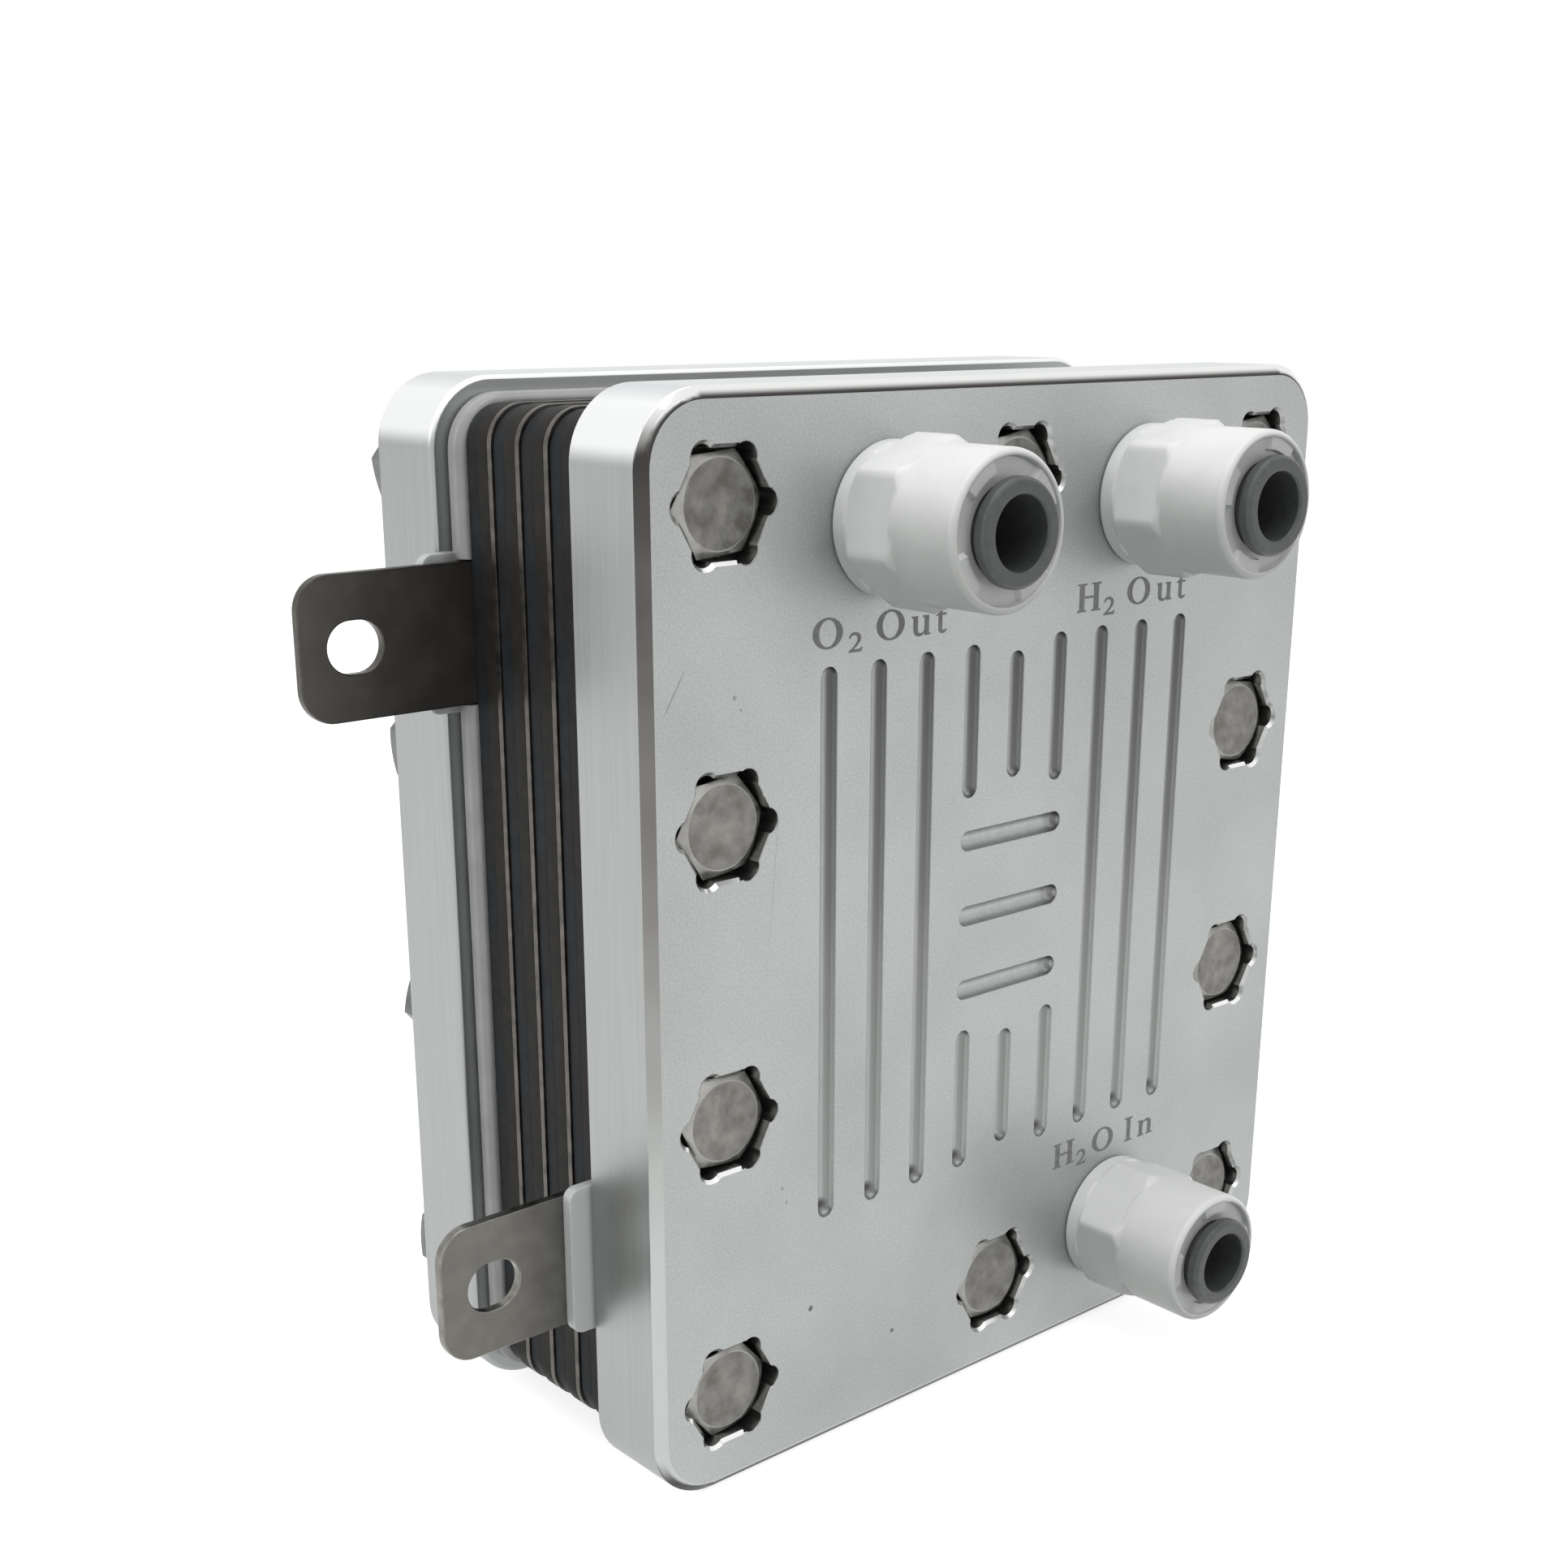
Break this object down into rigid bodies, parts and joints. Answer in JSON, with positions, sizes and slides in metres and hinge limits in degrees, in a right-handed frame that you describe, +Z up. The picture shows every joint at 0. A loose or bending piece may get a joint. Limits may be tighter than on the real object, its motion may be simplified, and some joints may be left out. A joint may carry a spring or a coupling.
{
  "type": "electrolyzer stack",
  "caption": "Flat electrolyser stack: end plates clamp thin framed cells, with push-fit tube ports on the front face and slotted terminal tabs at one side.",
  "frame": {"origin": "middle of the front end plate's foot face", "axes": "+X to the right along the front face, +Y from the front plate to the rear plate, +Z up"},
  "size_m": [0.1596, 0.1007, 0.154],
  "materials": {
    "plate": "bead blasted face, bright bevel",
    "insulator": "natural",
    "terminal": "tarnished",
    "bipolar": "cut edge",
    "frame": "moulded",
    "membrane": "film",
    "mesh": "sintered",
    "felt": "matt",
    "steel": "plain",
    "fitting": "moulded",
    "collet": "moulded",
    "seal": "moulded"
  },
  "bodies": {
    "stack": {"front_end_plate": "plate", "rear_end_plate": "plate", "front_insulator": "insulator", "rear_insulator": "insulator", "bolt_sleeves": "insulator", "front_terminal_plate": "terminal", "rear_terminal_plate": "terminal", "bipolar_plate_1": "bipolar", "bipolar_plate_2": "bipolar", "bipolar_plate_3": "bipolar", "anode_frame_1": "frame", "cathode_frame_1": "frame", "membrane_1": "membrane", "anode_mesh_1": "mesh", "cathode_felt_1": "felt", "anode_frame_2": "frame", "cathode_frame_2": "frame", "membrane_2": "membrane", "anode_mesh_2": "mesh", "cathode_felt_2": "felt", "anode_frame_3": "frame", "cathode_frame_3": "frame", "membrane_3": "membrane", "anode_mesh_3": "mesh", "cathode_felt_3": "felt", "anode_frame_4": "frame", "cathode_frame_4": "frame", "membrane_4": "membrane", "anode_mesh_4": "mesh", "cathode_felt_4": "felt", "clamp_bolts": "steel", "washers": "steel", "nuts": "steel", "oxygen_fitting": "fitting", "oxygen_tube_seal": "seal", "oxygen_port_seal": "seal", "hydrogen_fitting": "fitting", "hydrogen_tube_seal": "seal", "hydrogen_port_seal": "seal", "water_fitting": "fitting", "water_tube_seal": "seal", "water_port_seal": "seal"},
    "oxygen_release": {"oxygen_collet": "collet", "oxygen_grab_ring": "steel"},
    "hydrogen_release": {"hydrogen_collet": "collet", "hydrogen_grab_ring": "steel"},
    "water_release": {"water_collet": "collet", "water_grab_ring": "steel"}
  },
  "joints": [
    {"name": "oxygen_release_slide", "type": "slide", "parent": "stack", "child": "oxygen_release", "axis": [0, 1, 0], "range_m": [0, 0.001]},
    {"name": "hydrogen_release_slide", "type": "slide", "parent": "stack", "child": "hydrogen_release", "axis": [0, 1, 0], "range_m": [0, 0.001]},
    {"name": "water_release_slide", "type": "slide", "parent": "stack", "child": "water_release", "axis": [0, 1, 0], "range_m": [0, 0.001]}
  ]
}
